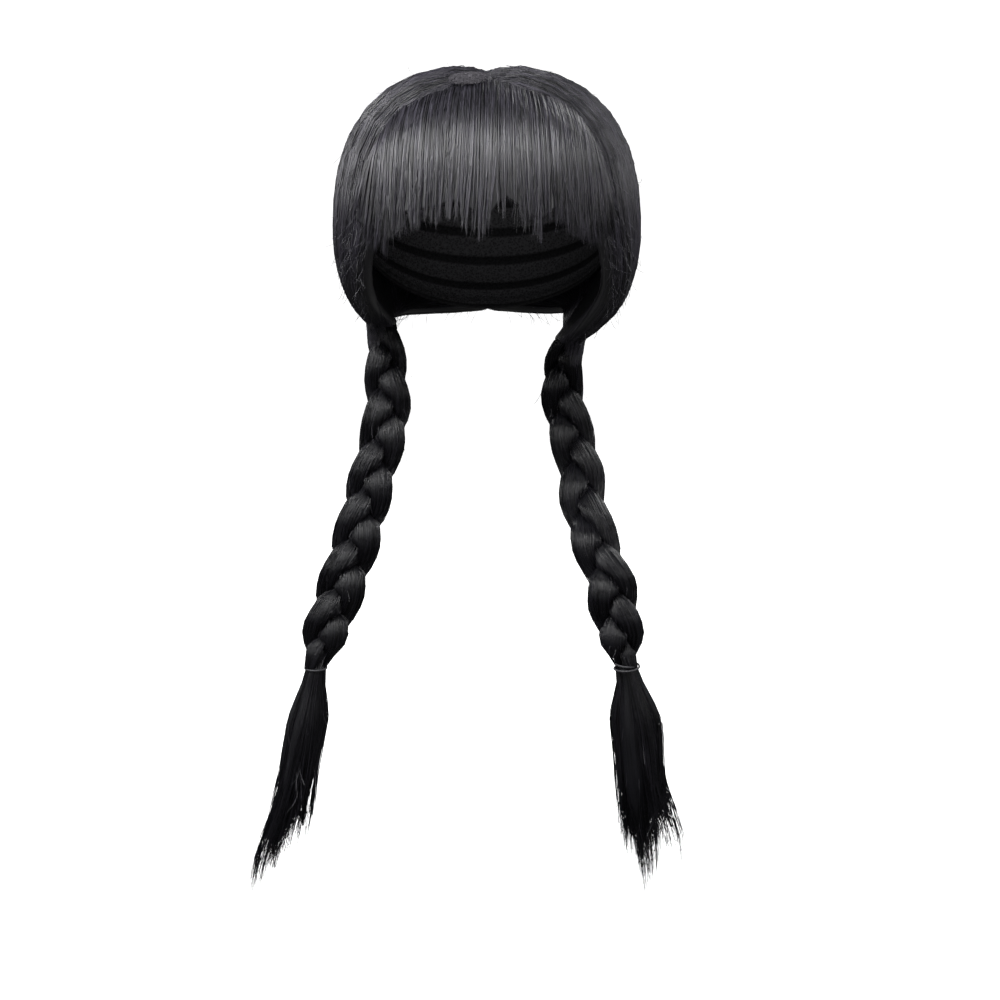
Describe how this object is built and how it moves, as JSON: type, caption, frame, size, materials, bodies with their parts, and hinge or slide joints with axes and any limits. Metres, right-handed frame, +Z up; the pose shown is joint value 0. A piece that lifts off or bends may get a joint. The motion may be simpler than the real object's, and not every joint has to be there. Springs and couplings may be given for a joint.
{
  "type": "pigtail wig",
  "caption": "Long-haired wig with a cut fringe and a centre parting, its hair gathered behind the ears into plaits that are tied and end in loose tails.",
  "frame": {"origin": "where the crown of the head touches the inside of the cap, on the parting", "axes": "+Z up, -Y the way the face looks, +X to the right as seen from the front"},
  "size_m": [0.27, 0.2153, 0.5136],
  "materials": {
    "cap": "matt black knitted net with sewn rows",
    "fringe": "glossy black synthetic hair with a soft blue-grey sheen",
    "root_patch": "matt charcoal, rough short fibres",
    "hair": "glossy black synthetic hair, combed",
    "plait": "glossy black synthetic hair, plaited",
    "band": "thin dark grey elastic"
  },
  "bodies": {
    "root": {"cap": "cap", "fringe": "fringe", "root_patch": "root_patch", "left_hair": "hair", "left_strand_1": "plait", "left_strand_2": "plait", "left_strand_3": "plait", "left_tie": "band", "left_tail": "plait", "right_hair": "hair", "right_strand_1": "plait", "right_strand_2": "plait", "right_strand_3": "plait", "right_tie": "band", "right_tail": "plait"}
  },
  "joints": []
}
